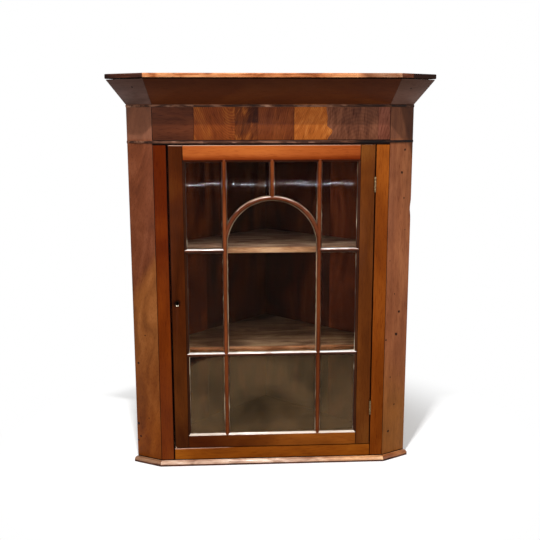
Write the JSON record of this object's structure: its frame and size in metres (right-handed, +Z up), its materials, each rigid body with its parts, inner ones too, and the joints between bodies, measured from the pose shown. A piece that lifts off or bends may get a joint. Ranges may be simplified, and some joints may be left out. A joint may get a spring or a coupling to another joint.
{
  "type": "corner cupboard",
  "caption": "Hanging mahogany corner cupboard with a flaring cornice, canted sides, shelves and a hinged door glazed in an arched pattern of astragal bars.",
  "frame": {"origin": "centre of the bounding box in plan, on the base plane", "axes": "+Z up, the door faces -Y, the back corner points to +Y, +X to the right seen from the front"},
  "size_m": [0.8326, 0.469, 1.04],
  "materials": {
    "dark_mahogany": "old French polish, satin",
    "amber_mahogany": "worn French polish, satin",
    "red_mahogany": "worn French polish, satin",
    "carcase_wood": "stained, dull",
    "brass": "tarnished",
    "steel": "dull",
    "glass": "old, slightly wavy"
  },
  "bodies": {
    "case": {"right_wall_front_board": "carcase_wood", "right_wall_rear_board": "carcase_wood", "left_wall_front_board": "carcase_wood", "left_wall_rear_board": "carcase_wood", "bottom_board": "carcase_wood", "top_board": "carcase_wood", "lower_shelf": "carcase_wood", "upper_shelf": "carcase_wood", "right_splayed_side": "red_mahogany", "left_splayed_side": "red_mahogany", "left_face_stile": "red_mahogany", "right_face_stile": "amber_mahogany", "face_bottom_rail": "amber_mahogany", "front_plinth_moulding": "amber_mahogany", "left_plinth_moulding": "amber_mahogany", "right_plinth_moulding": "amber_mahogany", "front_cap_board": "amber_mahogany", "left_cap_board": "amber_mahogany", "right_cap_board": "amber_mahogany", "frieze": "dark_mahogany", "front_cornice_board": "dark_mahogany", "left_cornice_board": "dark_mahogany", "right_cornice_board": "dark_mahogany", "lower_bead": "dark_mahogany", "upper_bead": "dark_mahogany", "upper_hinge_frame_leaf": "brass", "lower_hinge_frame_leaf": "brass", "upper_hinge_pin": "brass", "lower_hinge_pin": "brass", "strike_plate": "brass"},
    "door": {"door_left_stile": "dark_mahogany", "door_right_stile": "dark_mahogany", "door_top_rail": "amber_mahogany", "door_bottom_rail": "red_mahogany", "left_upright_bar": "red_mahogany", "right_upright_bar": "red_mahogany", "centre_bar": "red_mahogany", "arch_bar": "red_mahogany", "upper_left_crossbar": "red_mahogany", "upper_right_crossbar": "red_mahogany", "lower_left_crossbar": "red_mahogany", "lower_right_crossbar": "red_mahogany", "lower_centre_crossbar": "red_mahogany", "top_left_pane": "glass", "top_right_pane": "glass", "middle_left_pane": "glass", "middle_right_pane": "glass", "bottom_left_pane": "glass", "bottom_right_pane": "glass", "bottom_centre_pane": "glass", "arch_pane": "glass", "left_spandrel_pane": "glass", "right_spandrel_pane": "glass", "upper_hinge_door_leaf": "brass", "lower_hinge_door_leaf": "brass", "escutcheon": "brass", "lock_case": "steel"},
    "bolt": {"lock_bolt": "brass"}
  },
  "joints": [
    {"name": "door_hinge", "type": "hinge", "parent": "case", "child": "door", "pos_m": [0.2674, -0.1761, 0.4581], "axis": [0, 0, 1], "range_deg": [0, 145]},
    {"name": "bolt_slide", "type": "slide", "parent": "door", "child": "bolt", "axis": [-1, 0, 0], "range_m": [0, 0.008]}
  ]
}
